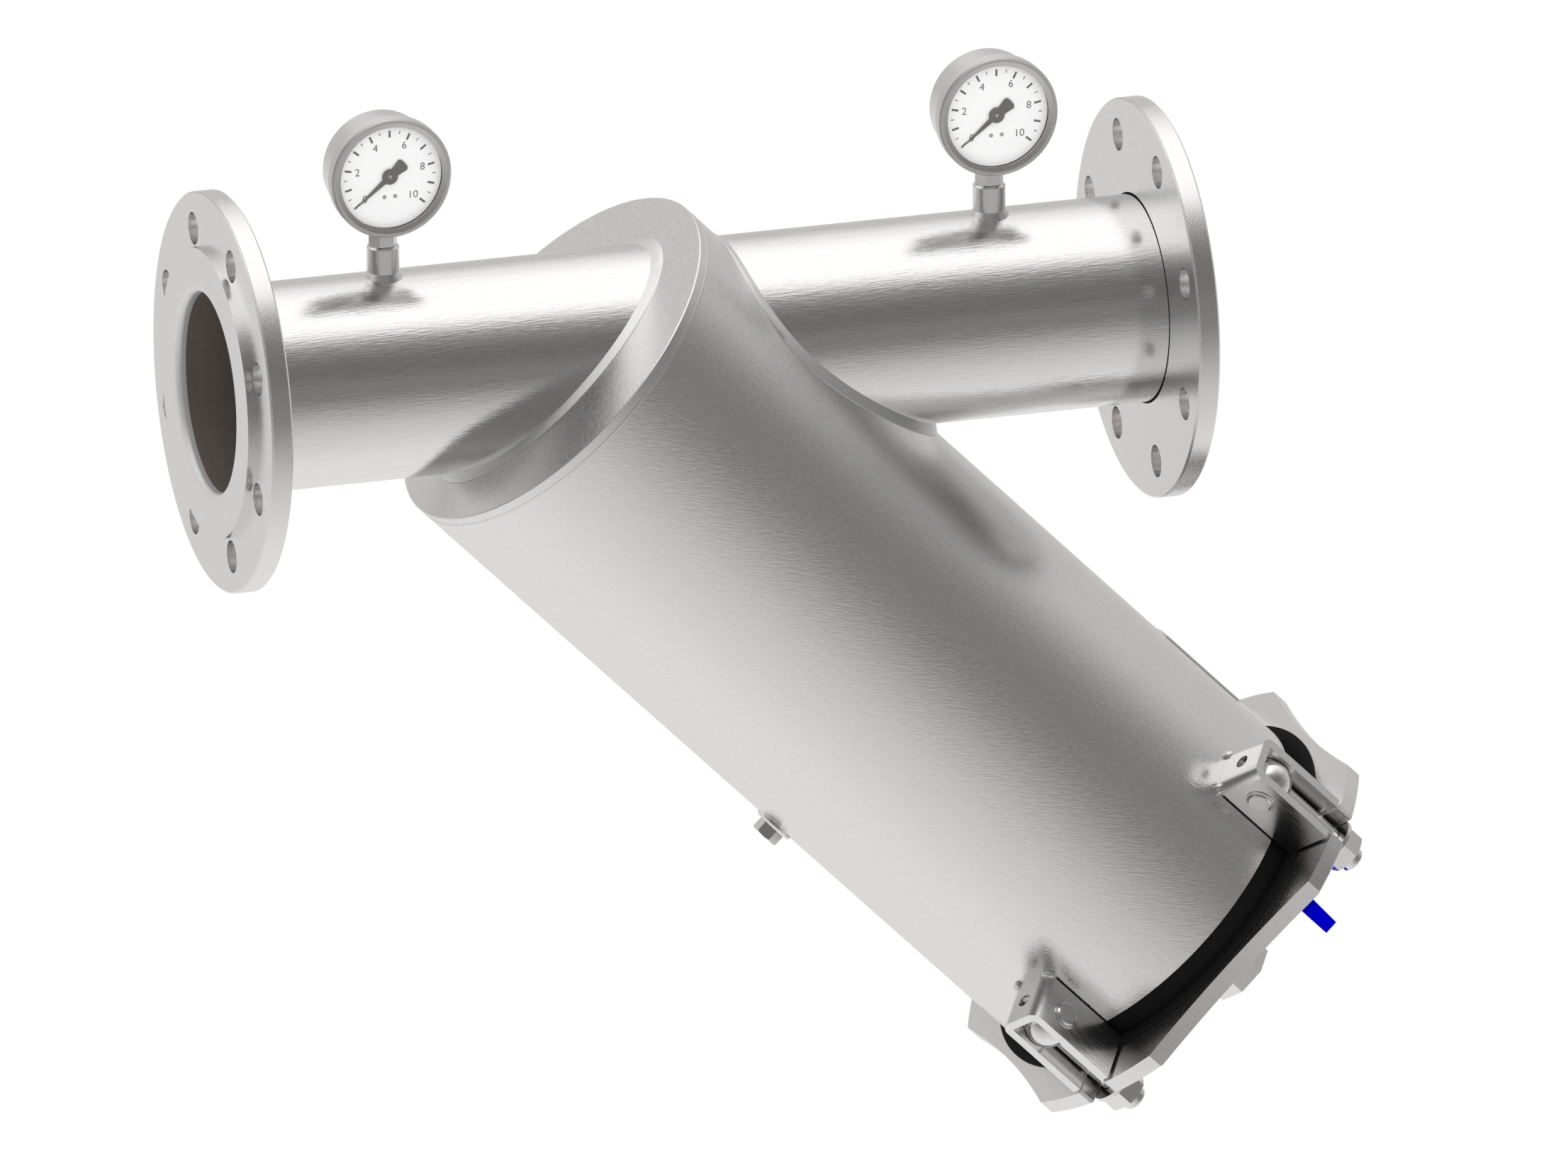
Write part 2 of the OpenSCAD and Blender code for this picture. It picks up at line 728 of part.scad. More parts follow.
module packing_nut()
    color(steel) at_valve() translate([neck_top, 0, 0]) rotate([0, 90, 0]) difference() {
        hexagon(packing_af, packing_h);
        translate([0, 0, -over]) cylinder(h = packing_h + 2 * over, r = stem_d / 2 + running);
    }

// Steel strip from the stem into the grip
module valve_lever() {
    strip_w = grip_w - 6;
    strip_end = lever_len - 4;
    color(dull_steel) at_valve() translate([lever_mid - lever_t / 2, 0, 0]) rotate([0, 90, 0])
        difference() {
            union() {
                cylinder(h = lever_t, d = strip_w);
                translate([-strip_w / 2, 0, 0]) cube([strip_w, strip_end, lever_t]);
            }
            translate([0, 0, -over]) cylinder(h = lever_t + 2 * over, r = stem_d / 2 - stem_step);
        }
}

module lever_grip() {
    strip_w = grip_w - 6;
    color(grip_blue) at_valve() translate([lever_rise, 0, 0]) rotate([0, 90, 0]) difference() {
        linear_extrude(grip_t) {
            translate([-grip_w / 2, grip_start]) square([grip_w, lever_len - grip_start - 3]);
            translate([3 - grip_w / 2, grip_start]) square([grip_w - 6, lever_len - grip_start]);
            for (side = [-1, 1]) translate([side * (grip_w / 2 - 3), lever_len - 3]) circle(r = 3);
        }
        translate([-strip_w / 2, grip_start - over, (grip_t - lever_t) / 2])
            cube([strip_w, lever_len - 4 - grip_start + over, lever_t]);
    }
}

module lever_nut()
    color(steel) at_valve() translate([lever_mid + lever_t / 2, 0, 0]) rotate([0, 90, 0]) difference() {
        hexagon(lever_nut_af, lever_nut_h);
        translate([0, 0, -over]) cylinder(h = lever_nut_h + 2 * over, r = stem_d / 2 - stem_step);
    }

// Gauges

module gauge_case(x)
    color(steel) at_gauge(x) difference() {
        translate([0, 0, -case_back]) cylinder(h = case_back + case_front, d = case_d);
        translate([0, 0, case_wall - case_back])
            cylinder(h = case_back + case_front, r = case_d / 2 - case_wall);
        rotate([90, 0, 0]) cylinder(h = far, r = stem_neck_r + running);
    }

module gauge_bezel(x) {
    r = bezel_r;
    seat = case_d / 2 + running;
    lip = window_z + window_t;
    color(steel) at_gauge(x) rotate_extrude() polygon([
        [seat, bezel_z], [r - 0.6, bezel_z], [r, bezel_z + 0.6], [r, bezel_front - 1],
        [r - 1, bezel_front], [r - 2.4, bezel_front], [dial_r - 0.4, lip + 0.3],
        [dial_r - 0.4, lip], [seat, lip]
    ]);
}

module gauge_window(x)
    color(window_clear) at_gauge(x) translate([0, 0, window_z]) cylinder(h = window_t, d = case_d);

module gauge_dial(x)
    color(dial_white) at_gauge(x) translate([0, 0, dial_z - dial_t])
        tube(dial_r, spindle_r + 0.6, dial_t);

// Pointer at its zero mark, with the spindle that carries it
module gauge_pointer(x)
    color(pointer_grey) at_gauge(x) rotate([0, 0, 180 + zero_angle]) {
        translate([0, 0, pointer_z]) {
            linear_extrude(pointer_t) {
                polygon([[0, 1.7], [pointer_len, 0.25], [pointer_len, -0.25], [0, -1.7]]);
                polygon([[0, 2.0], [-tail_len + 2, 3.7], [-tail_len + 2, -3.7], [0, -2.0]]);
                translate([-tail_len, -2.2]) square([2, 4.4]);
                for (side = [-1, 1]) translate([2 - tail_len, side * 2]) circle(r = 1.8);
            }
            cylinder(h = 0.9, r = hub_r);
        }
        translate([0, 0, 2]) cylinder(h = pointer_z - 1.5, r = spindle_r);
    }

// Connection with its hexagon, the neck into the case and the block that carries dial and spindle
module gauge_stem(x) {
    hex_top = -case_d / 2 - gauge_hex_gap;
    hex_foot = socket_top - gauge_rise;
    thread_len = 12;
    color(dull_steel) at_gauge(x) difference() {
        union() {
            translate([0, hex_foot, 0]) rotate([-90, 0, 0]) rotate([0, 0, 30])
                hexagon(gauge_af, hex_top - hex_foot);
            translate([0, hex_foot - thread_len, 0]) rotate([-90, 0, 0])
                cylinder(h = thread_len + 1, r = gauge_thread_d / 2 - running);
            translate([0, hex_foot + 1, 0]) rotate([-90, 0, 0])
                cylinder(h = -hex_foot - 10, r = stem_neck_r);
            translate([-block_w / 2, -15, -block_back]) cube([block_w, 21, dial_z - dial_t + block_back]);
        }
        translate([0, 0, 1.5]) cylinder(h = far, r = spindle_r + running);
        translate([0, hex_foot - thread_len - over, 0]) rotate([-90, 0, 0])
            cylinder(h = -hex_foot + thread_len - 8, r = gauge_bore_r);
    }
}

// Curved spring tube that starts from the connection
module gauge_tube(x)
    color(dull_steel) at_gauge(x) difference() {
        rotate([0, 0, -90]) rotate_extrude(angle = 265) translate([tube_r, tube_z]) {
            square([tube_w, tube_h - tube_w], center = true);
            for (end = [-1, 1]) translate([0, end * (tube_h - tube_w) / 2]) circle(d = tube_w);
        }
        rotate([90, 0, 0]) cylinder(h = far, r = stem_neck_r);
    }

housing_shell();
top_disc();
inlet_pipe();
outlet_pipe();
inlet_collar();
outlet_collar();
inlet_flange();
outlet_flange();
pipe_welds();
gauge_socket(inlet_gauge_x);  // inlet_gauge_socket
gauge_socket(outlet_gauge_x);  // outlet_gauge_socket
side_boss();
side_plug();
name_plate();
bolt_brackets();
bracket_pins();
basket_seat();
basket_screen();
basket_top_ring();
basket_bottom_ring();
basket_handle();
cover_plate();
cover_seal();
swing_bolt(0);  // swing_bolt_1
swing_bolt(1);  // swing_bolt_2
swing_bolt(2);  // swing_bolt_3
swing_bolt(3);  // swing_bolt_4
washer(0);  // washer_1
washer(1);  // washer_2
washer(2);  // washer_3
washer(3);  // washer_4
nut(0);  // nut_1
nut(1);  // nut_2
nut(2);  // nut_3
nut(3);  // nut_4
valve_body();
valve_end();
valve_seats();
valve_ball();
valve_stem();
packing_nut();
valve_lever();
lever_grip();
lever_nut();
gauge_case(inlet_gauge_x);  // inlet_gauge_case
gauge_bezel(inlet_gauge_x);  // inlet_gauge_bezel
gauge_window(inlet_gauge_x);  // inlet_gauge_window
gauge_dial(inlet_gauge_x);  // inlet_gauge_dial
gauge_pointer(inlet_gauge_x);  // inlet_gauge_pointer
gauge_stem(inlet_gauge_x);  // inlet_gauge_stem
gauge_tube(inlet_gauge_x);  // inlet_gauge_tube
gauge_case(outlet_gauge_x);  // outlet_gauge_case
gauge_bezel(outlet_gauge_x);  // outlet_gauge_bezel
gauge_window(outlet_gauge_x);  // outlet_gauge_window
gauge_dial(outlet_gauge_x);  // outlet_gauge_dial
gauge_pointer(outlet_gauge_x);  // outlet_gauge_pointer
gauge_stem(outlet_gauge_x);  // outlet_gauge_stem
gauge_tube(outlet_gauge_x);  // outlet_gauge_tube
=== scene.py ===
# %% [markdown]
# A simplex strainer in brushed stainless steel.
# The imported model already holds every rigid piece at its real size. This lesson dresses it:
# it gives each piece the finish of the real metal, rubber, plastic or glass, and adds the small
# things that a fabricator or a gauge maker would add last, such as weld fillets and dial marks.

# %% Load the frame
import json
import math

import bpy
from mathutils import Matrix, Vector


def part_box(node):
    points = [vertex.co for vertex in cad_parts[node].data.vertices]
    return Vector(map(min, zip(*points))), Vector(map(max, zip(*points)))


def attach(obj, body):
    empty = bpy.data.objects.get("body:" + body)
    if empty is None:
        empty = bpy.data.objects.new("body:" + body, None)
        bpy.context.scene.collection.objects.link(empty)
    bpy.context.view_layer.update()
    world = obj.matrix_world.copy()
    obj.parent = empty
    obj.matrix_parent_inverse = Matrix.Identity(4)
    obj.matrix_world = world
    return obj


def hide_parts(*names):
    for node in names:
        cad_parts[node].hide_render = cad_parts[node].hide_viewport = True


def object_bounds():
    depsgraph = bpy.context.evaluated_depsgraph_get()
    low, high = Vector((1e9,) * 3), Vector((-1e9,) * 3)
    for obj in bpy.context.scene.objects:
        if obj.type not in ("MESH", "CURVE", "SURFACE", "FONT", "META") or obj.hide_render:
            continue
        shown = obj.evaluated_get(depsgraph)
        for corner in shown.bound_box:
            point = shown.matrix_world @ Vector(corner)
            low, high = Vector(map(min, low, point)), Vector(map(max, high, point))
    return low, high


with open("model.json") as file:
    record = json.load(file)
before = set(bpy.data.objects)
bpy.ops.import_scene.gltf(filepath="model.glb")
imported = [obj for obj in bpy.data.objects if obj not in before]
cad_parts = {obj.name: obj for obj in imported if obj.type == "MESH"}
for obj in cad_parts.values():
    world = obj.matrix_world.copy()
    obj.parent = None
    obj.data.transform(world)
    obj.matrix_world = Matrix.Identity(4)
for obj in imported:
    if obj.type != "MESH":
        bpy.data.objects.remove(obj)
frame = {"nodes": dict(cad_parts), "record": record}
cad_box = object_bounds()
MM = 0.001

# %% [markdown]
# The housing slants 45 degrees below the pipe. Two directions are used again and again: along the
# housing to its cover, and toward the front. A ring about the housing's axis starts flat on the
# floor and is tipped by ABOUT_HOUSING. The place where the two axes cross is read from the seat
# ring, whose middle lies on the housing's axis.

# %% Directions and places
SLANT = math.radians(45)
DOWN_HOUSING = Vector((math.cos(SLANT), 0, -math.sin(SLANT)))
FRONT = Vector((0, -1, 0))
ABOUT_HOUSING = (0, math.radians(90) + SLANT, 0)
ABOUT_PIPE = (0, math.radians(90), 0)


def middle(node):
    """The middle of a CAD node's box."""
    low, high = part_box(node)
    return (low + high) / 2


def across(node, direction):
    """How far a CAD node reaches, lowest and highest, along a direction."""
    reach = [v.co.dot(direction) for v in frame["nodes"][node].data.vertices]
    return min(reach), max(reach)


seat_middle = middle("basket_seat")
housing_start = Vector((seat_middle.x + seat_middle.z, 0, 0))
shell_r = across("housing_shell", FRONT)[1]
pipe_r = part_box("inlet_pipe")[1].y
print("axes cross at x =", round(housing_start.x / MM, 1), "mm, housing radius",
      round(shell_r / MM, 2), "mm, pipe radius", round(pipe_r / MM, 2), "mm")

# %% [markdown]
# The photograph was taken from far away with a long lens, so that parallel edges stay parallel.
# A 1200 mm lens from 28.5 m does the same. The camera looks slightly from the left and 19 degrees
# from above. It is built from its three axes, which keeps it level without any trial and error,
# and it aims at a place given along those axes: to the right of the origin, below it and behind.

# %% Camera
AZIMUTH, ELEVATION = math.radians(-17.8), math.radians(18.92)
FRAME_WIDTH = 856.2 * MM
AIM_RIGHT, AIM_BELOW, AIM_BEHIND = 310.75 * MM, 106.3 * MM, 120 * MM
LENS, SENSOR = 1200.0, 36.0

right = Vector((math.cos(AZIMUTH), math.sin(AZIMUTH), 0))
back = Vector((math.sin(AZIMUTH) * math.cos(ELEVATION), -math.cos(AZIMUTH) * math.cos(ELEVATION),
               math.sin(ELEVATION)))
up = back.cross(right)
aim = right * AIM_RIGHT - up * AIM_BELOW - back * AIM_BEHIND
distance = FRAME_WIDTH * LENS / SENSOR

camera_data = bpy.data.cameras.new("camera")
camera_data.lens = LENS
camera_data.sensor_width = SENSOR
camera_data.clip_end = 200
camera = bpy.data.objects.new("camera", camera_data)
bpy.context.scene.collection.objects.link(camera)
turn = Matrix((right, up, back)).transposed().to_4x4()
camera.matrix_world = Matrix.Translation(aim + back * distance) @ turn
bpy.context.scene.camera = camera
bpy.context.scene.view_settings.view_transform = "Standard"
print("camera at", [round(c, 2) for c in camera.location], "distance", round(distance, 2), "m")


# %% [markdown]
# Colours are written as the hex codes that a paint chart or a picture gives. Blender calculates
# with linear light, so one function turns every code into linear values.

# %% Colour helper
def linear(code):
    """The linear RGBA of a hex colour such as #c8c7c5."""
    channels = [int(code[i:i + 2], 16) / 255 for i in (1, 3, 5)]
    return [c / 12.92 if c <= 0.04045 else ((c + 0.055) / 1.055) ** 2.4 for c in channels] + [1.0]


# %% [markdown]
# Materials and the studio are node trees. One small function adds a node, sets its settings and
# links its inputs, so that a tree reads like a list of steps.

# %% Node helper
def add_node(tree, kind, settings=None, **inputs):
    """Adds a node. An input is a value, or a (node, output) pair to link from."""
    node = tree.nodes.new(kind)
    for name, value in (settings or {}).items():
        setattr(node, name, value)
    for name, value in inputs.items():
        socket = node.inputs[int(name[2:])] if name.startswith("in") and name[2:].isdigit() \
            else node.inputs[name.replace("_", " ")]
        if isinstance(value, tuple) and isinstance(value[0], bpy.types.Node):
            tree.links.new(value[0].outputs[value[1]], socket)
        else:
            socket.default_value = value
    return node


# %% [markdown]
# Brushed steel has hardly any colour of its own: what it shows is the room. The studio here is a
# ceiling of light, dim walls at eye level and a pale floor, written as greys from the nadir to the
# zenith. The wall behind the object is brighter than the one in front. Only glossy rays see those
# greys. Diffuse rays get an even white, at which paint and plastic show their written colour, and
# the camera sees the plain white of the backdrop.

# %% Studio greys
FRONT_GREYS = [(-1.0, "#d9d9d8"), (-0.83, "#cbcbca"), (-0.61, "#bfbfbe"), (-0.32, "#a1a1a0"),
               (-0.11, "#828281"), (0.0, "#706f6e"), (0.24, "#777675"), (0.33, "#646362"),
               (0.62, "#676665"), (0.83, "#8e8d8c"), (0.93, "#fdfdfc")]
BACK_GREYS = [(-1.0, "#d9d9d8"), (-0.5, "#d0d0cf"), (-0.2, "#bebebd"), (0.0, "#b1b1b0"),
              (0.32, "#b3b3b2"), (0.61, "#e2e2e1"), (0.83, "#fdfdfc")]


def grey_ramp(tree, greys, height):
    """A colour ramp over the height of a direction, from -1 at the nadir to 1 at the zenith."""
    ramp = add_node(tree, "ShaderNodeValToRGB", Fac=(height, 0))
    stops = ramp.color_ramp.elements
    while len(stops) < len(greys):
        stops.new(0.5)
    for stop, (z, code) in zip(stops, greys):
        stop.position = (z + 1) / 2
        stop.color = linear(code)
    return ramp


print("studio with", len(FRONT_GREYS), "front greys and", len(BACK_GREYS), "back greys")

# %% [markdown]
# The world holds both columns of greys. The height of a ray's direction looks up the grey, and how
# far the ray points to the back of the room blends the front wall into the brighter back wall.
# CEILING is the strength of these greys.

# %% World
CEILING, WALL_BLEND = 1.36, (-0.6, 0.4)
world = bpy.data.worlds.new("studio")
bpy.context.scene.world = world
world.use_nodes = True
tree = world.node_tree
tree.nodes.clear()
place = add_node(tree, "ShaderNodeTexCoord")
axes = add_node(tree, "ShaderNodeSeparateXYZ", Vector=(place, "Generated"))
height = add_node(tree, "ShaderNodeMapRange", Value=(axes, "Z"), From_Min=-1.0, From_Max=1.0)
side = add_node(tree, "ShaderNodeMapRange", {"interpolation_type": "SMOOTHSTEP"},
                Value=(axes, "Y"), From_Min=WALL_BLEND[0], From_Max=WALL_BLEND[1])
front_greys = grey_ramp(tree, FRONT_GREYS, height)
back_greys = grey_ramp(tree, BACK_GREYS, height)
room = add_node(tree, "ShaderNodeMix", {"data_type": "RGBA"})
tree.links.new(side.outputs[0], room.inputs[0])
tree.links.new(front_greys.outputs[0], room.inputs[6])
tree.links.new(back_greys.outputs[0], room.inputs[7])
reflected = add_node(tree, "ShaderNodeBackground", Strength=CEILING)
tree.links.new(room.outputs[2], reflected.inputs["Color"])
even = add_node(tree, "ShaderNodeBackground", Color=linear("#ffffff"), Strength=1.0)
ray = add_node(tree, "ShaderNodeLightPath")
chosen = add_node(tree, "ShaderNodeMixShader", Fac=(ray, "Is Glossy Ray"))
tree.links.new(even.outputs[0], chosen.inputs[1])
tree.links.new(reflected.outputs[0], chosen.inputs[2])
add_node(tree, "ShaderNodeOutputWorld", Surface=(chosen, 0))
print("world with", len(tree.nodes), "nodes")

# %% [markdown]
# The strainer hangs in a pipeline, so the pale floor lies well below it and takes only a faint,
# wide shadow. The camera and glass see it as plain white; metal looks past it at the studio, which
# already has a floor in its greys.

# %% Floor
FLOOR_DROP, FLOOR_SIZE, FLOOR_MIDDLE = 1.6, 60, 0.3
bpy.ops.object.select_all(action="DESELECT")
bpy.ops.mesh.primitive_plane_add(size=FLOOR_SIZE,
                                 location=(FLOOR_MIDDLE, 0, cad_box[0][2] - FLOOR_DROP))
floor = bpy.context.object
floor.name = "floor"
floor.visible_glossy = False
paper = bpy.data.materials.new("studio_paper")
paper.use_nodes = True
tree = paper.node_tree
tree.nodes.clear()
white = add_node(tree, "ShaderNodeEmission", Color=linear("#ffffff"), Strength=1.0)
matt = add_node(tree, "ShaderNodeBsdfDiffuse", Color=linear("#f2f2f1"))
ray = add_node(tree, "ShaderNodeLightPath")
seen = add_node(tree, "ShaderNodeMixShader", Fac=(ray, "Is Camera Ray"))
tree.links.new(matt.outputs[0], seen.inputs[1])
tree.links.new(white.outputs[0], seen.inputs[2])
add_node(tree, "ShaderNodeOutputMaterial", Surface=(seen, 0))
floor.data.materials.append(paper)
print("floor", FLOOR_DROP, "m below the lowest point")

# %% [markdown]
# Brushed stainless steel, grade 304: a belt of abrasive grit drags fine parallel scratches over
# the sheet. They are only hundredths of a millimetre deep, but they tilt the surface by a few
# degrees, so the edge of every reflection frays into short streaks. The grit of a 180 belt leaves
# scratches finer than a pixel. Here they are drawn 0.8 mm wide and 9 mm long, as coarse as they
# need to be to show. The noise is stretched along the grain, so a Mapping node of the kind
# TEXTURE first turns it to the grain and then stretches it. The same noise moves the tone by a
# tenth and the roughness by a fifth.

# %% Brushed steel
GRAIN_LENGTH, GRAIN_WIDTH = 9 * MM, 0.8 * MM
NOISE_LOW, NOISE_HIGH = 0.3, 0.7
STEEL_TONE, STEEL_ROUGH = 0.1, 0.2


def tones(code, spread):
    """A hex colour as a darker and a lighter linear tone."""
    channels = linear(code)[:3]
    return ([(1 - spread) * c for c in channels] + [1.0],
            [min(1.0, (1 + spread) * c) for c in channels] + [1.0])


def brushed_steel(name, code, grain, roughness, depth, length=GRAIN_LENGTH, width=GRAIN_WIDTH):
    """Brushed metal. grain is the Euler angle, in degrees, that turns X to the brushing."""
    material = bpy.data.materials.new(name)
    material.use_nodes = True
    tree = material.node_tree
    shader = tree.nodes["Principled BSDF"]
    shader.inputs["Metallic"].default_value = 1.0
    place = add_node(tree, "ShaderNodeTexCoord")
    turned = add_node(tree, "ShaderNodeMapping", {"vector_type": "TEXTURE"},
                      Vector=(place, "Object"), Scale=(length, width, width),
                      Rotation=[math.radians(a) for a in grain])
    scratches = add_node(tree, "ShaderNodeTexNoise", Vector=(turned, 0), Scale=1.0, Detail=2.0,
                         Roughness=0.55)
    rough = add_node(tree, "ShaderNodeMapRange", Value=(scratches, 0), From_Min=NOISE_LOW,
                     From_Max=NOISE_HIGH, To_Min=roughness * (1 - STEEL_ROUGH),
                     To_Max=roughness * (1 + STEEL_ROUGH))
    dark, light = tones(code, STEEL_TONE)
    tone = add_node(tree, "ShaderNodeMix", {"data_type": "RGBA"}, in6=dark, in7=light)
    tree.links.new(scratches.outputs[0], tone.inputs[0])
    relief = add_node(tree, "ShaderNodeBump", Height=(scratches, 0), Strength=1.0, Distance=depth)
    tree.links.new(tone.outputs[2], shader.inputs["Base Color"])
    tree.links.new(rough.outputs[0], shader.inputs["Roughness"])
    tree.links.new(relief.outputs[0], shader.inputs["Normal"])
    return material


SCRATCH_DEPTH = 0.07 * MM
STEEL = "#e4e2e1"
ALONG_PIPE, ALONG_Y, UPRIGHT, ALONG_HOUSING = (0, 0, 0), (0, 0, 90), (0, 90, 0), (0, 45, 0)
SHELL_GRAIN, DISC_GRAIN = (0, 12, 0), (0, 0, 80)
pipe_steel = brushed_steel("brushed_stainless_pipe", STEEL, ALONG_PIPE,
                           roughness=0.15, depth=1.5 * SCRATCH_DEPTH)
housing_steel = brushed_steel("brushed_stainless_housing", STEEL, SHELL_GRAIN,
                              roughness=0.22, depth=1.7 * SCRATCH_DEPTH)
disc_steel = brushed_steel("brushed_stainless_disc", STEEL, DISC_GRAIN,
                           roughness=0.3, depth=1.5 * SCRATCH_DEPTH)
flange_steel = brushed_steel("brushed_stainless_flange", STEEL, ALONG_Y,
                             roughness=0.24, depth=SCRATCH_DEPTH)
collar_steel = brushed_steel("brushed_stainless_collar", STEEL, UPRIGHT,
                             roughness=0.24, depth=SCRATCH_DEPTH)
cover_steel = brushed_steel("brushed_stainless_cover", STEEL, ALONG_HOUSING,
                            roughness=0.24, depth=SCRATCH_DEPTH)
weld_steel = brushed_steel("ground_weld_steel", "#e0dfdd", UPRIGHT,
                           roughness=0.36, depth=SCRATCH_DEPTH, length=6 * MM)
bar_steel = brushed_steel("brushed_stainless_bar", STEEL, ALONG_HOUSING,
                          roughness=0.2, depth=0.5 * SCRATCH_DEPTH)
bezel_steel = brushed_steel("satin_stainless_bezel", "#dbdad8", ALONG_HOUSING,
                            roughness=0.42, depth=0.4 * SCRATCH_DEPTH,
                            length=5 * MM, width=0.5 * MM)
turned_steel = brushed_steel("turned_stainless", STEEL, UPRIGHT,
                             roughness=0.18, depth=0.15 * SCRATCH_DEPTH,
                             length=5 * MM, width=0.5 * MM)
print("brushed steels:", len([m for m in bpy.data.materials if "stainless" in m.name]))

# %% [markdown]
# The pipe's bore was never brushed. It keeps the dull brown-grey skin of a pickled tube, far less
# mirror-like than the outside. One mask, the distance from the pipe's axis, chooses between the
# two finishes, in the pipes and in the collars. The rounded lip of a collar, where the bore meets
# the sealing face, is blasted to a matt light grey by a second mask of the same kind. The blasting
# reaches a few millimetres into the bore, so the dull skin has a second limit, along the pipe.

# %% Dull bore
BORE_EDGE, LIP_WIDTH, LIP_DEPTH = 0.1 * MM, 4 * MM, 6.3 * MM
bore_r = min(math.hypot(v.co.y, v.co.z) for v in frame["nodes"]["inlet_pipe"].data.vertices)
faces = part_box("inlet_collar")[0].x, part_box("outlet_collar")[1].x


def finish_within(material, radius, code, metallic, roughness, depth):
    """Another finish within a radius of the X axis, and this deep behind the sealing faces.

    The colour multiplies the steel's own, so that the streaks go on.
    """
    tree = material.node_tree
    shader = tree.nodes["Principled BSDF"]
    place = add_node(tree, "ShaderNodeTexCoord")
    axes = add_node(tree, "ShaderNodeSeparateXYZ", Vector=(place, "Object"))
    across_axis = add_node(tree, "ShaderNodeCombineXYZ", X=0.0, Y=(axes, "Y"), Z=(axes, "Z"))
    reach = add_node(tree, "ShaderNodeVectorMath", {"operation": "LENGTH"},
                     Vector=(across_axis, 0))
    near = add_node(tree, "ShaderNodeMath", {"operation": "LESS_THAN"}, in0=(reach, "Value"),
                    in1=radius)
    past_inlet = add_node(tree, "ShaderNodeMath", {"operation": "GREATER_THAN"},
                          in0=(axes, "X"), in1=faces[0] + depth)
    past_outlet = add_node(tree, "ShaderNodeMath", {"operation": "LESS_THAN"},
                           in0=(axes, "X"), in1=faces[1] - depth)
    behind = add_node(tree, "ShaderNodeMath", {"operation": "MULTIPLY"}, in0=(past_inlet, 0),
                      in1=(past_outlet, 0))
    inside = add_node(tree, "ShaderNodeMath", {"operation": "MULTIPLY"}, in0=(near, 0),
                      in1=(behind, 0))
    for name, value in (("Base Color", linear(code)), ("Metallic", metallic),
                        ("Roughness", roughness)):
        socket = shader.inputs[name]
        kind = {"data_type": "RGBA", "blend_type": "MULTIPLY"} if name == "Base Color" \
            else {"data_type": "FLOAT"}
        blend = add_node(tree, "ShaderNodeMix", kind)
        first = 6 if name == "Base Color" else 2
        tree.links.new(inside.outputs[0], blend.inputs[0])
        if socket.is_linked:
            tree.links.new(socket.links[0].from_socket, blend.inputs[first])
        else:
            blend.inputs[first].default_value = socket.default_value
        blend.inputs[first + 1].default_value = value
        tree.links.new(blend.outputs[2 if name == "Base Color" else 0], socket)


finish_within(collar_steel, bore_r + LIP_WIDTH, "#f8f8f8", metallic=0.4, roughness=0.4,
              depth=-BORE_EDGE)
for material in (pipe_steel, collar_steel):
    finish_within(material, bore_r + BORE_EDGE, "#998f89", metallic=0.5, roughness=0.5,
                  depth=LIP_DEPTH)
print("bore radius", round(bore_r / MM, 2), "mm")

# %% [markdown]
# The brushing runs another way on each large piece, so each of them gets the steel whose grain
# runs its way. The small turned parts share one fine finish.

# %% Which node has which finish
FINISHES = {
    pipe_steel: ["inlet_pipe", "outlet_pipe"],
    housing_steel: ["housing_shell", "name_plate"],
    flange_steel: ["inlet_flange", "outlet_flange"],
    collar_steel: ["inlet_collar", "outlet_collar"],
    weld_steel: ["pipe_welds"],
    disc_steel: ["top_disc"],
    cover_steel: ["cover_plate"],
    bar_steel: ["bolt_brackets"],
    turned_steel: ["inlet_gauge_socket", "outlet_gauge_socket", "side_boss", "side_plug",
                   "bracket_pins", "basket_seat", "basket_screen", "basket_top_ring",
                   "basket_bottom_ring", "basket_handle", "valve_body", "valve_end",
                   "valve_ball", "valve_stem", "packing_nut", "valve_lever", "lever_nut"]
    + ["%s_%d" % (kind, i) for kind in ("swing_bolt", "washer", "nut") for i in range(1, 5)]
    + ["%s_gauge_%s" % (end, part) for end in ("inlet", "outlet")
       for part in ("case", "stem", "tube")],
    bezel_steel: ["inlet_gauge_bezel", "outlet_gauge_bezel"],
}


def finish_nodes(material, names):
    """Gives CAD nodes one material in all their slots."""
    for name in names:
        data = frame["nodes"][name].data
        data.materials.clear()
        data.materials.append(material)


for material, names in FINISHES.items():
    finish_nodes(material, names)
print("finished steel nodes:", sum(len(names) for names in FINISHES.values()))

# %% [markdown]
# The other materials have a skin instead of a grain. A vinyl grip is dipped, and dries with a soft
# orange peel about 1.5 mm across. Nitrile rubber takes the fine matt texture of its mould, PTFE
# shows the marks of its turning, and enamel and paint are sprayed in droplets of 0.3 to 0.4 mm.
# One noise, as large as that texture is, moves the tone, the roughness and the relief a little.
# Only the gauge's glass is smooth all over.

# %% Skins
SKIN_ROUGH = 0.1


def textureless(name, code, roughness, **inputs):
    """A finish without any texture."""
    material = bpy.data.materials.new(name)
    material.use_nodes = True
    shader = material.node_tree.nodes["Principled BSDF"]
    shader.inputs["Base Color"].default_value = linear(code)
    shader.inputs["Roughness"].default_value = roughness
    for key, value in inputs.items():
        shader.inputs[key.replace("_", " ")].default_value = value
    return material


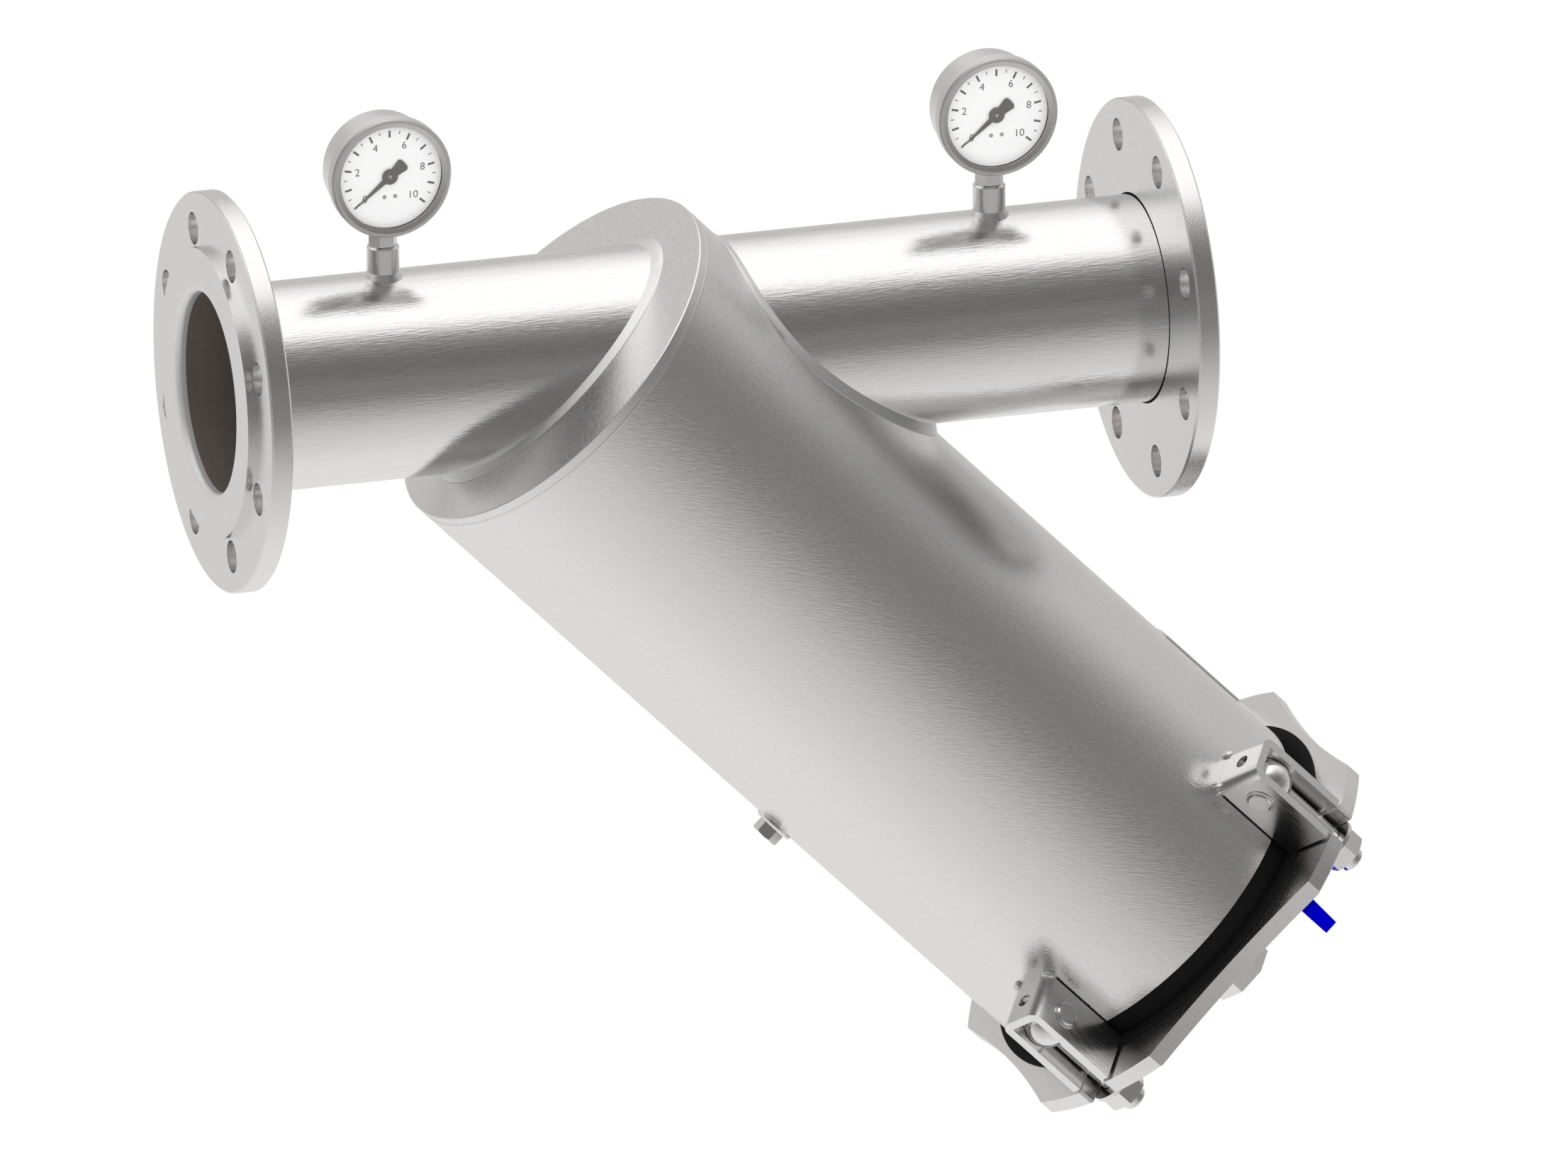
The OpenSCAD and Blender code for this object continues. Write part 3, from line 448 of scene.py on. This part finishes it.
def skin(name, code, roughness, size, relief, tone=0.05, **inputs):
    """A finish with a skin. size is how wide its texture is, and relief how deep."""
    material = textureless(name, code, roughness, **inputs)
    tree = material.node_tree
    shader = tree.nodes["Principled BSDF"]
    place = add_node(tree, "ShaderNodeTexCoord")
    texture = add_node(tree, "ShaderNodeTexNoise", Vector=(place, "Object"), Scale=1 / size,
                       Detail=2.0)
    dark, light = tones(code, tone)
    colour = add_node(tree, "ShaderNodeMix", {"data_type": "RGBA"}, in6=dark, in7=light)
    tree.links.new(texture.outputs[0], colour.inputs[0])
    rough = add_node(tree, "ShaderNodeMapRange", Value=(texture, 0), From_Min=NOISE_LOW,
                     From_Max=NOISE_HIGH, To_Min=roughness * (1 - SKIN_ROUGH),
                     To_Max=min(1.0, roughness * (1 + SKIN_ROUGH)))
    bump = add_node(tree, "ShaderNodeBump", Height=(texture, 0), Strength=1.0, Distance=relief)
    tree.links.new(colour.outputs[2], shader.inputs["Base Color"])
    tree.links.new(rough.outputs[0], shader.inputs["Roughness"])
    tree.links.new(bump.outputs[0], shader.inputs["Normal"])
    return material


PAINT = {"roughness": 0.6, "size": 0.3 * MM, "relief": 0.003 * MM}
grip_plastic = skin("blue_vinyl_grip", "#0000cd", roughness=0.7, size=1.5 * MM,
                    relief=0.06 * MM, tone=0.08, Specular_IOR_Level=0.0)
# This black rubber is the cover seal's own colour. On the two gap pieces below it also paints
# shade.
rubber = skin("black_nitrile_rubber", "#1b1b1b", roughness=0.8, size=0.8 * MM,
              relief=0.04 * MM, tone=0.12, Specular_IOR_Level=0.1)
ptfe = skin("white_ptfe", "#eeeeea", roughness=0.4, size=0.5 * MM, relief=0.01 * MM)
# Painted glow: the dial enamel emits a faint white light, to make up for the light its recess
# loses in the shade of the bezel and case.
enamel = skin("white_dial_enamel", "#ffffff", roughness=0.6, size=0.4 * MM,
              relief=0.003 * MM, tone=0.02, Emission_Color=linear("#ffffff"),
              Emission_Strength=0.08)
pointer_paint = skin("grey_pointer_paint", "#666562", **PAINT)
dot_paint = skin("light_grey_dial_paint", "#a5a4a2", **PAINT)
glass = textureless("instrument_glass", "#ffffff", roughness=0.05, Alpha=0.02)
finish_nodes(grip_plastic, ["lever_grip"])
finish_nodes(rubber, ["cover_seal"])
finish_nodes(ptfe, ["valve_seats"])
for end in ("inlet", "outlet"):
    finish_nodes(enamel, [end + "_gauge_dial"])
    finish_nodes(pointer_paint, [end + "_gauge_pointer"])
    finish_nodes(glass, [end + "_gauge_window"])
print("materials so far:", len(bpy.data.materials))

# %% [markdown]
# Every new piece is modelled with the operators of Blender's menus. An operator acts on all that
# is selected, so each step first makes its piece the only selected one. At the end a piece gets
# its place applied, so that its object sits at the origin like a CAD node's.

# %% Piece helpers
DOUBLES = 0.002 * MM


def take(*pieces):
    """Makes pieces the only selected ones, the first of them active."""
    bpy.ops.object.select_all(action="DESELECT")
    for piece in pieces:
        piece.select_set(True)
    bpy.context.view_layer.objects.active = pieces[0]


def start(name, add, **settings):
    """Adds a primitive with nothing else selected, and names it."""
    bpy.ops.object.select_all(action="DESELECT")
    add(**settings)
    piece = bpy.context.object
    piece.name = piece.data.name = name
    return piece


def modify(piece, kind, **settings):
    """Adds a modifier and applies it at once."""
    take(piece)
    modifier = piece.modifiers.new(kind.lower(), kind)
    for key, value in settings.items():
        setattr(modifier, key, value)
    bpy.ops.object.modifier_apply(modifier=modifier.name)


def complete(piece, material, body, crease=35):
    """Applies a piece's place, gives it its finish, and lets it ride on its body."""
    take(piece)
    bpy.ops.object.transform_apply(location=True, rotation=True, scale=True)
    bpy.ops.object.mode_set(mode="EDIT")
    bpy.ops.mesh.select_all(action="SELECT")
    bpy.ops.mesh.remove_doubles(threshold=DOUBLES)
    bpy.ops.mesh.normals_make_consistent(inside=False)
    bpy.ops.object.mode_set(mode="OBJECT")
    bpy.ops.object.shade_smooth_by_angle(angle=math.radians(crease))
    piece.data.materials.clear()
    piece.data.materials.append(material)
    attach(piece, body)
    print(piece.name, "has", len(piece.data.polygons), "faces")


# %% [markdown]
# Black nitrile rubber closes the gap between the housing and its cover: a sleeve between the two
# steel faces, and a thin flat ring bonded to the cover's inner face that reaches a little past
# the housing. The sleeve is a seal, and its black also paints the shade in the gap. The flat ring
# is painted shade: a black band on the cover's inner face beside the housing. Both start as an
# open cylinder. Solidify gives them their thickness, inward, and a small bevel takes off the
# moulded edges. The thickness of the cover's plate is the model's.

# %% Gap gasket, also painted shade
GASKET_WALL, GASKET_INSET, GASKET_PLAY = 2.4 * MM, 4.05 * MM, 0.03 * MM
GASKET_EDGE = 0.4 * MM
COVER_PLATE = 10 * MM
housing_end = across("housing_shell", DOWN_HOUSING)[1]
cover_face = across("cover_plate", DOWN_HOUSING)[1] - COVER_PLATE
gasket_length = cover_face - housing_end - 2 * GASKET_PLAY
gasket_middle = (cover_face + housing_end) / 2 - housing_start.dot(DOWN_HOUSING)
# The sleeve's black rubber is partly painted shade in the gap between the housing and its cover.
gasket = start("gap_gasket", bpy.ops.mesh.primitive_cylinder_add, vertices=180,
               radius=shell_r - GASKET_INSET, depth=gasket_length, end_fill_type="NOTHING",
               location=housing_start + DOWN_HOUSING * gasket_middle, rotation=ABOUT_HOUSING)
modify(gasket, "SOLIDIFY", thickness=GASKET_WALL, offset=-1)
modify(gasket, "BEVEL", width=GASKET_EDGE, segments=2, limit_method="ANGLE")
complete(gasket, rubber, "housing")
print("gap", round((cover_face - housing_end) / MM, 2), "mm, gasket", round(gasket_length / MM, 2))

# %% [markdown]
# The flat ring of painted shade lies round the end of the sleeve with a twentieth of a
# millimetre to spare, and reaches seven millimetres past the housing.

# %% Cover ring of painted shade
FLAT_R, FLAT_INSET, FLAT_THICKNESS, FLAT_EDGE = 116.5 * MM, 4.0 * MM, 1.1 * MM, 0.3 * MM
flat_middle = cover_face - GASKET_PLAY - FLAT_THICKNESS / 2 - housing_start.dot(DOWN_HOUSING)
# Painted shade: a black rubber ring stands for the dark band on the cover's inner face.
flat_ring = start("cover_gasket", bpy.ops.mesh.primitive_cylinder_add, vertices=180,
                  radius=FLAT_R, depth=FLAT_THICKNESS, end_fill_type="NOTHING",
                  location=housing_start + DOWN_HOUSING * flat_middle, rotation=ABOUT_HOUSING)
modify(flat_ring, "SOLIDIFY", thickness=FLAT_R - (shell_r - FLAT_INSET), offset=-1)
modify(flat_ring, "BEVEL", width=FLAT_EDGE, segments=2, limit_method="ANGLE")
complete(flat_ring, rubber, "housing")

# %% [markdown]
# A TIG weld joins each pipe to the housing. The welder lays a bead in the corner, and a flap disc
# then grinds it to a nearly flat ribbon. Swept along the corner it would twist, because the pipe
# meets the disc and the round housing at 45 degrees. Instead a ring with a three-cornered section
# is extruded and scaled about the pipe's axis, and each of its points is then slid along the pipe
# until the ring lies on the disc's plane, or on the housing's cylinder.

# %% A ring of weld metal
WELD_SUNK, TOE_HEIGHT, CROWN = 0.4 * MM, 0.35 * MM, 0.52


def ring_step(move, scale, x):
    """Extrudes the selected loop along X and scales it about the pipe's axis."""
    bpy.ops.mesh.extrude_region_move(TRANSFORM_OT_translate={"value": (move, 0, 0)})
    bpy.ops.transform.resize(value=(1, scale, scale), center_override=(x, 0, 0))


def weld_ring(name, leg):
    """A ring about the X axis: its foot runs along the pipe, its toe along the other piece."""
    foot, crown, toe = pipe_r - WELD_SUNK, pipe_r + CROWN * leg, pipe_r + leg
    ring = start(name, bpy.ops.mesh.primitive_circle_add, vertices=240, radius=foot,
                 location=(-WELD_SUNK, 0, 0), rotation=ABOUT_PIPE)
    bpy.ops.object.transform_apply(location=True, rotation=True, scale=True)
    bpy.ops.object.mode_set(mode="EDIT")
    ring_step(leg + WELD_SUNK, 1.0, leg)
    ring_step(CROWN * leg - leg, crown / foot, CROWN * leg)
    ring_step(TOE_HEIGHT - CROWN * leg, toe / crown, TOE_HEIGHT)
    ring_step(-TOE_HEIGHT - WELD_SUNK, 1.0, -WELD_SUNK)
    ring_step(0, foot / toe, -WELD_SUNK)
    bpy.ops.object.mode_set(mode="OBJECT")
    return ring


print("weld ring with a toe", round(TOE_HEIGHT / MM, 2), "mm high")

# %% [markdown]
# Both ribbons are wider below the pipe than above it, so the leg of each is scaled by how high
# its point lies on the pipe. The two rings then become one piece, which takes the place of the
# model's plain seams.

# %% Weld fillets
INLET_LEG, OUTLET_LEG = 4.5 * MM, 4.4 * MM
INLET_THINNER, OUTLET_THINNER = 0.22, 0.5


def lay_on(ring, surface, sense, share):
    """Slides each point of a ring along X onto a surface, and scales its legs round the pipe."""
    for vertex in ring.data.vertices:
        x, y, z = vertex.co
        reach = math.hypot(y, z)
        part = share(z / reach)
        grown = (pipe_r + (reach - pipe_r) * part) / reach
        y, z = y * grown, z * grown
        vertex.co = (surface(y, z) + sense * x * part, y, z)


inlet_weld = weld_ring("weld_fillets", INLET_LEG)
lay_on(inlet_weld, lambda y, z: housing_start.x + z, -1,
       lambda up: 1 - INLET_THINNER * up * abs(up))
outlet_weld = weld_ring("outlet_fillet", OUTLET_LEG)
lay_on(outlet_weld, lambda y, z: housing_start.x + math.sqrt(2 * (shell_r ** 2 - y ** 2)) - z, 1,
       lambda up: 1 - OUTLET_THINNER * up)
take(inlet_weld, outlet_weld)
bpy.ops.object.join()
complete(inlet_weld, weld_steel, "housing", crease=30)
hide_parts("pipe_welds")

# %% [markdown]
# The top disc is welded to the housing all round its rim. The seam has been ground almost flush:
# a ribbon a little over a millimetre wide still stands a tenth of a millimetre proud. It starts
# where the 5.5 mm of the disc end.

# %% Disc seam
SEAM_START, SEAM_WIDTH = 5.5 * MM, 1.4 * MM
SEAM_PROUD, SEAM_WALL, SEAM_EDGE = 0.12 * MM, 0.5 * MM, 0.08 * MM
seam = start("disc_seam", bpy.ops.mesh.primitive_cylinder_add, vertices=240,
             radius=shell_r + SEAM_PROUD, depth=SEAM_WIDTH, end_fill_type="NOTHING",
             location=housing_start + DOWN_HOUSING * (SEAM_START + SEAM_WIDTH / 2),
             rotation=ABOUT_HOUSING)
modify(seam, "SOLIDIFY", thickness=SEAM_WALL, offset=-1)
modify(seam, "BEVEL", width=SEAM_EDGE, segments=2, limit_method="ANGLE")
complete(seam, weld_steel, "housing")

# %% [markdown]
# Each bent bar is held on the housing by two tack welds at its rounded corners. A tack is a few
# drops of metal that have run into one another: a middle ball and a smaller one at either side of
# it, made one skin by a voxel remesh and smoothed. It is made once here and copied below.

# %% One bracket tack
TACK_R, TACK_VOXEL = 2.7 * MM, 0.28 * MM
SIDE_BALLS = ((1.7 * MM, 0.86), (-1.9 * MM, 0.78))
tack = start("tack", bpy.ops.mesh.primitive_uv_sphere_add, segments=24, ring_count=16,
             radius=TACK_R, location=(0, 0, 0))
bpy.ops.object.mode_set(mode="EDIT")
for step, size in SIDE_BALLS:
    bpy.ops.mesh.primitive_uv_sphere_add(segments=24, ring_count=16, radius=TACK_R * size,
                                         location=(step, 0, 0))
bpy.ops.object.mode_set(mode="OBJECT")
modify(tack, "REMESH", mode="VOXEL", voxel_size=TACK_VOXEL)
modify(tack, "SMOOTH", factor=0.5, iterations=3)
print("one tack has", len(tack.data.polygons), "faces")

# %% [markdown]
# Round each end of a hinge pin sits a flat retaining ring. It is an open cylinder that Solidify
# makes a washer, with a small bevel on its edges.

# %% One retaining ring
RING_OUTER, RING_WALL, RING_THICKNESS, RING_EDGE = 8.0 * MM, 0.95 * MM, 0.7 * MM, 0.18 * MM
ring = start("ring", bpy.ops.mesh.primitive_cylinder_add, vertices=64, radius=RING_OUTER,
             depth=RING_THICKNESS, end_fill_type="NOTHING")
modify(ring, "SOLIDIFY", thickness=RING_WALL, offset=-1)
modify(ring, "BEVEL", width=RING_EDGE, segments=2, limit_method="ANGLE")
print("one ring has", len(ring.data.polygons), "faces")

# %% [markdown]
# What repeats is copied, each copy with its own mesh, to a place that is written as a matrix: an
# origin and the directions of the copy's own X and Y.

# %% Copies
def copies_at(source, name, places):
    """Copies a piece, with its own mesh, to each place, and joins the copies into one piece."""
    copies = []
    for place in places:
        copy = source.copy()
        copy.data = source.data.copy()
        copy.matrix_world = place
        bpy.context.scene.collection.objects.link(copy)
        copies.append(copy)
    take(*copies)
    bpy.ops.object.join()
    bpy.data.objects.remove(source)
    copies[0].name = copies[0].data.name = name
    return copies[0]


def frame_at(origin, x, y):
    """A placing matrix from an origin and two directions; Z follows from them."""
    return Matrix.Translation(origin) @ Matrix((x, y, x.cross(y))).transposed().to_4x4()


# %% [markdown]
# The hinge pins' places and directions are those of the bolts' joints in the record. Each bracket
# gets a tack at either corner of its web and a ring on either side. Half the width of a bracket
# and the drop from the pin to the end of its web are the model's.

# %% Bracket tacks and retaining rings
BAR_HALF, WEB_DROP, TACK_SIDE = 13.5 * MM, 19.9 * MM, 11.9 * MM
TACK_LIFT, TACK_BACK, RING_PLAY = 0.6 * MM, 1.6 * MM, 0.02 * MM
tack_places, ring_places = [], []
for joint in frame["record"]["behaviour"]["joints"]:
    if joint["name"].startswith("bolt_") and joint["name"].endswith("_swing"):
        pin, along_pin = Vector(joint["pos_m"]), Vector(joint["axis"]).normalized()
        on_axis = housing_start + DOWN_HOUSING * (pin - housing_start).dot(DOWN_HOUSING)
        outward = (pin - on_axis).normalized()
        for side in (-1, 1):
            height = math.sqrt(shell_r ** 2 - TACK_SIDE ** 2)
            corner = (on_axis + outward * (height + TACK_LIFT) + along_pin * side * TACK_SIDE
                      - DOWN_HOUSING * (WEB_DROP - TACK_BACK))
            slope = (along_pin + DOWN_HOUSING * side).normalized()
            tack_places.append(frame_at(corner, slope, outward))
            ring_places.append(frame_at(
                pin + along_pin * side * (BAR_HALF + RING_THICKNESS / 2 + RING_PLAY),
                outward, DOWN_HOUSING))
tacks = copies_at(tack, "bracket_tacks", tack_places)
complete(tacks, weld_steel, "housing", crease=60)
rings = copies_at(ring, "retaining_rings", ring_places)
complete(rings, turned_steel, "housing")

# %% [markdown]
# A gauge dial is an enamelled disc, and its scale is screen printed in grey ink: eleven long
# strokes, ten short ones between them and a number at every second long stroke. The zero lies 40
# degrees below the horizontal, and one unit is 26 degrees, clockwise. Each stroke is a plane, set
# at its angle and stretched to its length and width.

# %% Strokes
SCALE_START, SCALE_STEP, SCALE_UNITS = 220, -26, 10
STROKE_END = 26.15 * MM
LONG, SHORT = (3.95 * MM, 1.2 * MM), (1.9 * MM, 0.5 * MM)


def at_scale(unit, reach):
    """A place on the dial, seen from the front, for a scale value and a distance."""
    angle = math.radians(SCALE_START + SCALE_STEP * unit)
    return Vector((reach * math.cos(angle), reach * math.sin(angle), 0)), angle


def dial_strokes():
    """All strokes of one scale in one mesh, flat on the XY plane about the origin."""
    strokes = start("strokes", bpy.ops.mesh.primitive_plane_add, size=1)
    bpy.ops.object.mode_set(mode="EDIT")
    bpy.ops.mesh.delete(type="VERT")
    for half_unit in range(2 * SCALE_UNITS + 1):
        length, width = SHORT if half_unit % 2 else LONG
        spot, angle = at_scale(half_unit / 2, STROKE_END - length / 2)
        bpy.ops.mesh.primitive_plane_add(size=1, location=spot, rotation=(0, 0, angle))
        bpy.ops.transform.resize(value=(length, width, 1), orient_type="GLOBAL",
                                 orient_matrix=Matrix.Rotation(angle, 3, "Z"),
                                 orient_matrix_type="GLOBAL", center_override=spot)
        bpy.ops.mesh.select_all(action="DESELECT")
    bpy.ops.object.mode_set(mode="OBJECT")
    return strokes


# %% [markdown]
# A number is text, made a mesh before it is placed: its outline is measured, brought to the height
# of the print and centred on its own place, a little inside its stroke.

# %% Numbers
NUMBER_HEIGHT, OUTLINE_STEPS = 4.2 * MM, 6
NUMBER_PLACES = {0: 18.4 * MM, 2: 18.8 * MM, 4: 18.7 * MM, 6: 19.1 * MM, 8: 19.1 * MM,
                 10: 17.9 * MM}


def dial_number(value):
    """A number as a flat mesh, at its place on the dial."""
    number = start("number", bpy.ops.object.text_add)
    number.data.body = str(value)
    number.data.resolution_u = OUTLINE_STEPS
    bpy.ops.object.convert(target="MESH")
    xs, ys = [v.co.x for v in number.data.vertices], [v.co.y for v in number.data.vertices]
    size = NUMBER_HEIGHT / (max(ys) - min(ys))
    centre = Vector((max(xs) + min(xs), max(ys) + min(ys), 0)) / 2
    spot, _ = at_scale(value, NUMBER_PLACES[value])
    for vertex in number.data.vertices:
        vertex.co = (vertex.co - centre) * size + spot
    return number


# %% [markdown]
# Ink has a thickness, so Solidify raises the flat print by a few hundredths of a millimetre. Each
# gauge gets a copy, stood upright just in front of its dial.

# %% Dial print
INK, PRINT_GAP = 0.04 * MM, 0.01 * MM


def print_on_dials(flat, name, material):
    """Stands a flat print upright in front of both dials and gives it the ink's thickness."""
    modify(flat, "SOLIDIFY", thickness=INK, offset=1)
    for end in ("inlet", "outlet"):
        low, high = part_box(end + "_gauge_dial")
        piece = flat.copy()
        piece.data = flat.data.copy()
        bpy.context.scene.collection.objects.link(piece)
        piece.name = piece.data.name = "%s_%s" % (end, name)
        piece.rotation_euler = (math.radians(90), 0, 0)
        piece.location = ((low.x + high.x) / 2, low.y - PRINT_GAP, (low.z + high.z) / 2)
        complete(piece, material, "housing")
    bpy.data.objects.remove(flat)


strokes = dial_strokes()
take(strokes, *[dial_number(value) for value in NUMBER_PLACES])
bpy.ops.object.join()
print_on_dials(strokes, "dial_print", pointer_paint)

# %% [markdown]
# Two small round marks stand below the spindle, in a paler ink than the scale. They become one
# flat print before they get the ink's thickness.

# %% Dial dots
DOT_R, DOT_PLACES = 1.2 * MM, [(-3.0 * MM, -11.6 * MM), (3.1 * MM, -11.6 * MM)]
dots = [start("dot", bpy.ops.mesh.primitive_circle_add, vertices=32, radius=DOT_R,
              fill_type="NGON", location=(x, y, 0)) for x, y in DOT_PLACES]
take(*dots)
bpy.ops.object.join()
bpy.ops.object.transform_apply(location=True, rotation=True, scale=True)
print_on_dials(dots[0], "dial_dots", dot_paint)

# %% [markdown]
# The pointer is pressed on its spindle, and the turned end of the spindle shows as a light dot
# in the middle of the hub. It is a low cylinder with a bevelled rim, and turns with the pointer.

# %% Spindle ends
SPINDLE_R, SPINDLE_LENGTH, SPINDLE_PROUD, SPINDLE_EDGE = 0.95 * MM, 0.3 * MM, 0.03 * MM, 0.1 * MM
for end in ("inlet", "outlet"):
    dial = middle(end + "_gauge_dial")
    pointer_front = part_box(end + "_gauge_pointer")[0].y
    tip = start(end + "_spindle_end", bpy.ops.mesh.primitive_cylinder_add, vertices=40,
                radius=SPINDLE_R, depth=SPINDLE_LENGTH, rotation=(math.radians(90), 0, 0),
                location=(dial.x, pointer_front - SPINDLE_PROUD, dial.z))
    modify(tip, "BEVEL", width=SPINDLE_EDGE, segments=2, limit_method="ANGLE")
    complete(tip, dot_paint, end + "_pointer")
